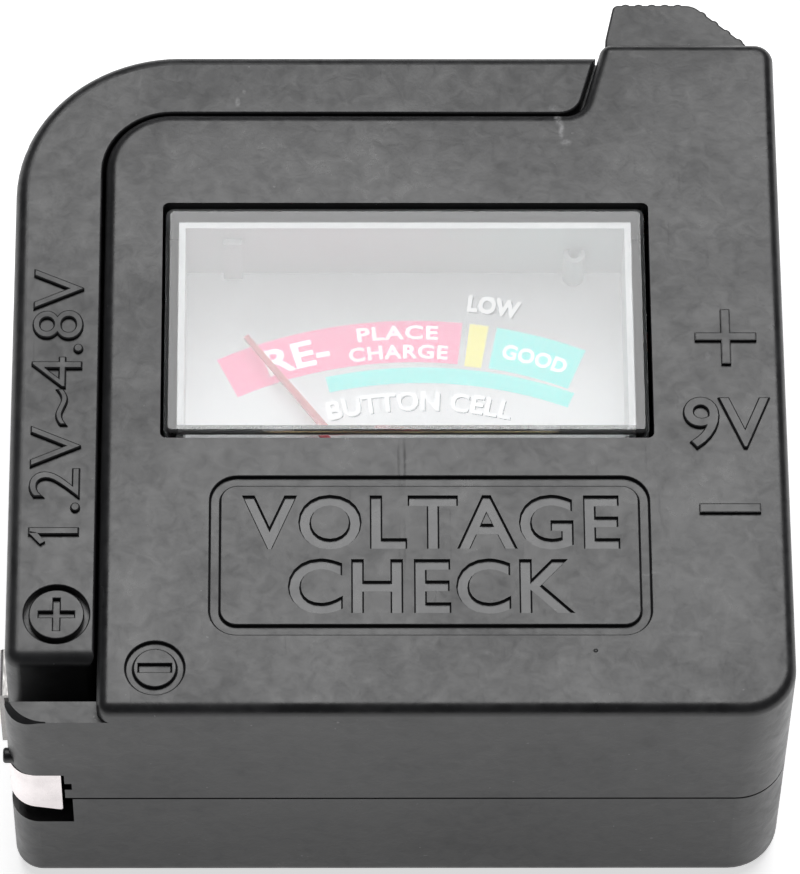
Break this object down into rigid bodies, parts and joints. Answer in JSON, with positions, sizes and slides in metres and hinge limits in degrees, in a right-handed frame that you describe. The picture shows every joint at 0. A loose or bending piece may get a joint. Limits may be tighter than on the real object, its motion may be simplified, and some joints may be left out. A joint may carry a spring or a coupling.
{
  "type": "battery tester",
  "caption": "Pocket analogue battery tester: square case with a windowed meter and a sliding L-shaped arm that clamps a cell",
  "frame": {"origin": "middle of the whole tester's box, on the flat back it lies on", "axes": "+Z out of the front face, +X to the right and +Y up the face as it is read; the arm slides out along -X"},
  "size_m": [0.0608, 0.0654, 0.028],
  "materials": {
    "case_black": "satin black moulded ABS with a fine mottled grain",
    "arm_black": "satin black moulded ABS, same as the case",
    "screw_steel": "zinc plated steel",
    "nickel": "nickel plated spring strip",
    "brass": "bright brass",
    "clear_cover": "clear moulded polystyrene, lightly scuffed",
    "white_plastic": "white moulded plastic",
    "dial_print": "white painted aluminium with a coloured printed scale",
    "pointer_red": "red paint on thin aluminium",
    "magnet": "sintered magnet",
    "yoke_steel": "plated soft steel",
    "copper_winding": "enamelled copper winding",
    "weight_brass": "small plated nuts",
    "bronze_spring": "thin phosphor bronze",
    "jewel_screw": "brass screw with a cup bearing",
    "resistor_body": "lacquered ceramic",
    "lead_red": "red insulation",
    "lead_black": "black insulation"
  },
  "bodies": {
    "case": {"front_shell": "case_black", "rear_shell": "case_black", "case_screws": "screw_steel", "dial_screws": "screw_steel", "bridge_screws": "screw_steel", "cell_negative_contact": "nickel", "snap_contact_positive": "nickel", "snap_contact_negative": "nickel", "pickup_strip": "brass", "meter_bridge": "brass", "core_bracket": "brass", "meter_terminals": "brass", "meter_cover": "clear_cover", "meter_base": "white_plastic", "dial_frame": "white_plastic", "meter_dial": "dial_print", "meter_magnet": "magnet", "meter_yoke": "yoke_steel", "jewel_screws": "jewel_screw", "load_resistor": "resistor_body", "series_resistor": "resistor_body", "lead_snap_positive": "lead_red", "lead_pickup": "lead_red", "lead_cell_negative": "lead_black", "lead_snap_negative": "lead_black"},
    "arm": {"arm_cover": "arm_black", "arm_base": "arm_black", "arm_contact": "nickel", "slider_shoe": "arm_black", "shoe_screw": "screw_steel", "wiper_spring": "nickel", "arm_lead": "lead_red"},
    "movement": {"meter_pointer": "pointer_red", "meter_coil": "copper_winding", "meter_staff": "brass", "balance_weights": "weight_brass", "hairspring_upper": "bronze_spring", "hairspring_lower": "bronze_spring"}
  },
  "joints": [
    {"name": "arm_slide", "type": "slide", "parent": "case", "child": "arm", "axis": [-1, 0, 0], "range_m": [0, 0.0504]},
    {"name": "pointer_turn", "type": "hinge", "parent": "case", "child": "movement", "pos_m": [0.00147, -0.0133, 0.0207], "axis": [0, 0, -1], "range_deg": [0, 75], "stiffness_Nm_per_rad": 0.00002, "deforming": ["hairspring_upper", "hairspring_lower"]}
  ]
}
